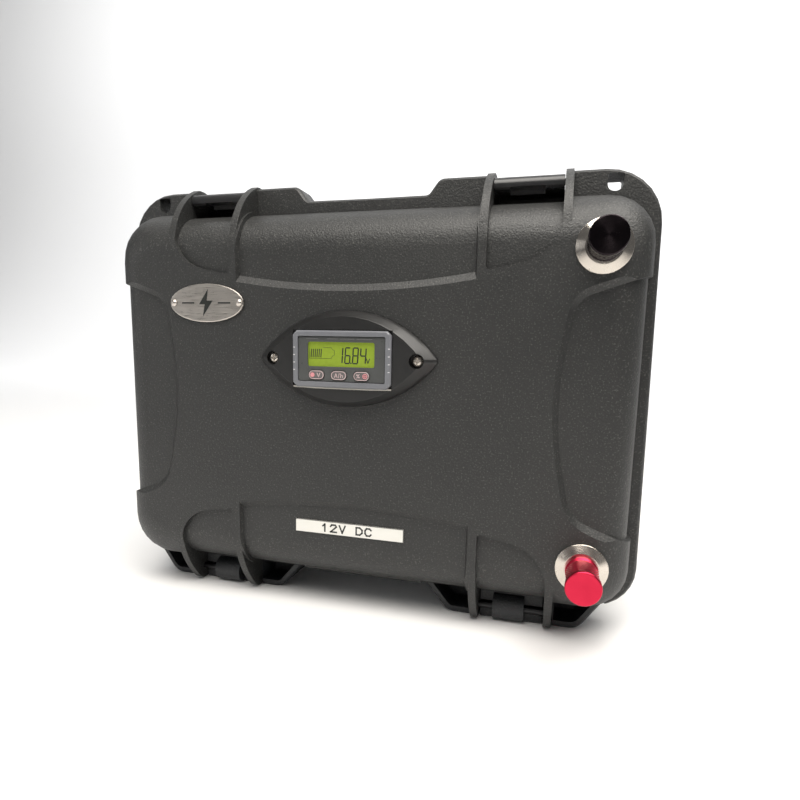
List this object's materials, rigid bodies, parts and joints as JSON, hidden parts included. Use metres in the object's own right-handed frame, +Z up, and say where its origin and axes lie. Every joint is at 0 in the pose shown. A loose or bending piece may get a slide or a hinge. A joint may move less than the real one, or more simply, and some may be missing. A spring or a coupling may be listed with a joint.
{
  "type": "deep cycle battery",
  "caption": "Deep cycle battery in a latched hard case, with a charge meter, thumb-nut power terminals, a carry handle and a hinged lid.",
  "frame": {"origin": "centre of the whole part's footprint, at the bottom of the feet", "axes": "+X along the case's width to the right of someone facing the lid, +Y from the lid to the back, +Z up"},
  "size_m": [0.3472, 0.1812, 0.2732],
  "materials": {
    "case_black": "moulded, fine texture",
    "lid_black": "moulded, fine texture",
    "latch_black": "moulded, satin",
    "handle_black": "moulded, satin",
    "bezel_black": "satin",
    "valve_black": "satin",
    "rubber_black": "soft, matt",
    "pin_steel": "blackened",
    "turned_stainless": "turned",
    "zinc_steel": "zinc plated",
    "red_anodised": "anodised, satin",
    "black_anodised": "anodised, satin",
    "meter_grey": "moulded, satin",
    "faceplate_grey": "printed film, satin",
    "lcd_green": "display glass with its dots",
    "button_grey": "moulded, matt",
    "badge_steel": "brushed along its length",
    "label_white": "printed film",
    "foam_grey": "closed-cell foam",
    "cell_blue": "aluminium can in shrink film",
    "end_plate": "glass-fibre sheet",
    "copper_bar": "tinned copper",
    "shunt_brass": "milled",
    "bms_case": "anodised",
    "fuse_body": "moulded",
    "cable_red": "silicone",
    "cable_black": "silicone",
    "cable_grey": "vinyl"
  },
  "bodies": {
    "base": {"rear_shell": "case_black", "latch_guard_left": "case_black", "latch_guard_right": "case_black", "rim_gasket": "rubber_black", "hinge_pin_left": "pin_steel", "hinge_pin_right": "pin_steel", "handle_pin_left": "pin_steel", "handle_pin_right": "pin_steel", "foam_tray": "foam_grey", "cell_1": "cell_blue", "cell_2": "cell_blue", "cell_3": "cell_blue", "cell_4": "cell_blue", "end_plate_left": "end_plate", "end_plate_right": "end_plate", "busbar_1": "copper_bar", "busbar_2": "copper_bar", "busbar_3": "copper_bar", "bms_module": "bms_case", "current_shunt": "shunt_brass", "main_fuse": "fuse_body", "lead_positive": "cable_red", "lead_negative": "cable_black", "meter_harness": "cable_grey"},
    "lid": {"front_shell": "lid_black", "latch_pin_left": "pin_steel", "latch_pin_right": "pin_steel", "terminal_washer_negative": "turned_stainless", "terminal_washer_positive": "turned_stainless", "terminal_stud_negative": "zinc_steel", "terminal_stud_positive": "zinc_steel", "terminal_nut_negative": "zinc_steel", "terminal_nut_positive": "zinc_steel", "lead_lug_negative": "copper_bar", "lead_lug_positive": "copper_bar", "display_bezel": "bezel_black", "bezel_screw_left": "turned_stainless", "bezel_screw_right": "turned_stainless", "meter_housing": "meter_grey", "meter_faceplate": "faceplate_grey", "meter_lcd": "lcd_green", "badge_plate": "badge_steel", "badge_rivet_left": "badge_steel", "badge_rivet_right": "badge_steel", "rating_label": "label_white", "lid_pad": "foam_grey"},
    "left_latch": {"latch_left": "latch_black"},
    "right_latch": {"latch_right": "latch_black"},
    "handle": {"carry_handle": "handle_black"},
    "valve": {"purge_valve": "valve_black"},
    "negative_collar": {"terminal_collar_negative": "black_anodised"},
    "negative_knob": {"terminal_knob_negative": "black_anodised"},
    "positive_collar": {"terminal_collar_positive": "red_anodised"},
    "positive_knob": {"terminal_knob_positive": "red_anodised"},
    "left_button": {"meter_button_left": "button_grey"},
    "middle_button": {"meter_button_middle": "button_grey"},
    "right_button": {"meter_button_right": "button_grey"}
  },
  "joints": [
    {"name": "lid_hinge", "type": "hinge", "parent": "base", "child": "lid", "pos_m": [0, -0.0344, 0.0091], "axis": [1, 0, 0], "range_deg": [0, 100], "deforming": ["lead_positive", "lead_negative", "meter_harness"]},
    {"name": "left_latch_swing", "type": "hinge", "parent": "lid", "child": "left_latch", "pos_m": [-0.09915, -0.0361, 0.2649], "axis": [1, 0, 0], "range_deg": [0, 110]},
    {"name": "right_latch_swing", "type": "hinge", "parent": "lid", "child": "right_latch", "pos_m": [0.09915, -0.0361, 0.2649], "axis": [1, 0, 0], "range_deg": [0, 110]},
    {"name": "handle_fold", "type": "hinge", "parent": "base", "child": "handle", "pos_m": [0, 0.0086, 0.2626], "axis": [1, 0, 0], "range_deg": [0, 90]},
    {"name": "purge_valve_turn", "type": "hinge", "parent": "base", "child": "valve", "pos_m": [0.1653, 0.0226, 0.2076], "axis": [1, 0, 0], "range_deg": [0, 180]},
    {"name": "negative_terminal_travel", "type": "slide", "parent": "lid", "child": "negative_collar", "axis": [0, -1, 0], "range_m": [0, 0.005]},
    {"name": "negative_terminal_turn", "type": "hinge", "parent": "negative_collar", "child": "negative_knob", "pos_m": [0.1403, -0.0698, 0.2256], "axis": [0, -1, 0], "range_deg": [0, 1440]},
    {"name": "positive_terminal_travel", "type": "slide", "parent": "lid", "child": "positive_collar", "axis": [0, -1, 0], "range_m": [0, 0.005]},
    {"name": "positive_terminal_turn", "type": "hinge", "parent": "positive_collar", "child": "positive_knob", "pos_m": [0.1403, -0.0698, 0.0509], "axis": [0, -1, 0], "range_deg": [0, 1440]},
    {"name": "left_button_press", "type": "slide", "parent": "lid", "child": "left_button", "axis": [0, 1, 0], "range_m": [0, 0.0008], "stiffness_N_per_m": 300},
    {"name": "middle_button_press", "type": "slide", "parent": "lid", "child": "middle_button", "axis": [0, 1, 0], "range_m": [0, 0.0008], "stiffness_N_per_m": 300},
    {"name": "right_button_press", "type": "slide", "parent": "lid", "child": "right_button", "axis": [0, 1, 0], "range_m": [0, 0.0008], "stiffness_N_per_m": 300}
  ],
  "couplings": [
    {"joint": "negative_terminal_turn", "follows": "negative_terminal_travel", "rad_per_m": 5026.5},
    {"joint": "positive_terminal_turn", "follows": "positive_terminal_travel", "rad_per_m": 5026.5}
  ]
}
